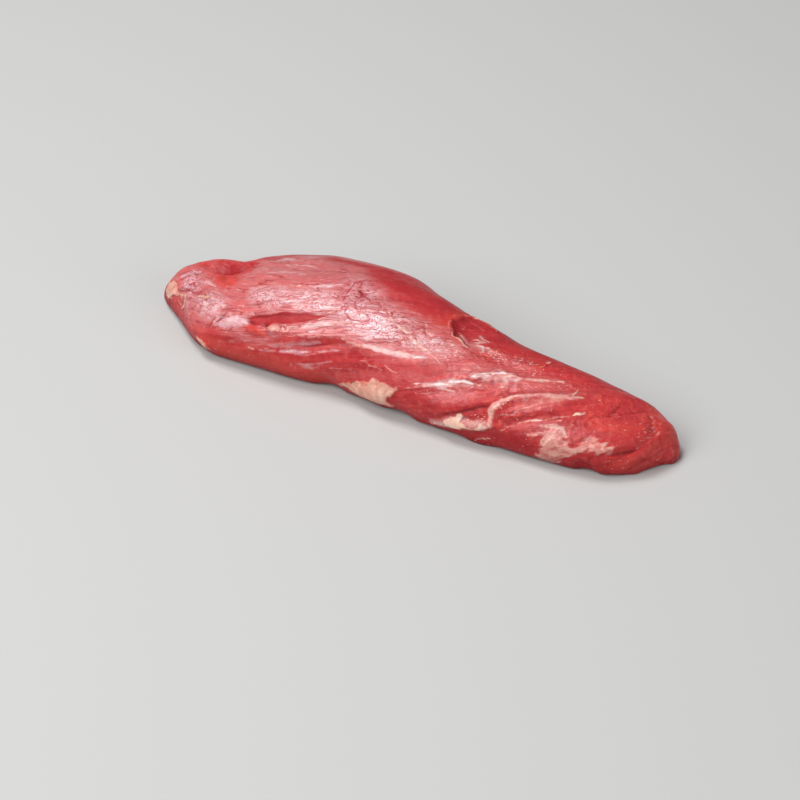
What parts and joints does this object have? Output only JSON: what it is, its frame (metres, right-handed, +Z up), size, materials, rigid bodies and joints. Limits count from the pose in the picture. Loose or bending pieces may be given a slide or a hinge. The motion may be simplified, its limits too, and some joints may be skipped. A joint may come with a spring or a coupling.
{
  "type": "raw pork tenderloin",
  "caption": "Whole raw pork tenderloin lying flat: a long tapered muscle with a thick lobed head, patches of silverskin and lumps of fat.",
  "frame": {"origin": "on the surface the meat lies on, under the middle of its bounding box", "axes": "+X along the length from the thick head to the tail, +Y across, away from the side with the fat, +Z up"},
  "size_m": [0.27, 0.074, 0.0419],
  "materials": {
    "meat": "wet raw muscle with silverskin and fat"
  },
  "bodies": {
    "root": {"tenderloin": "meat"}
  },
  "joints": []
}
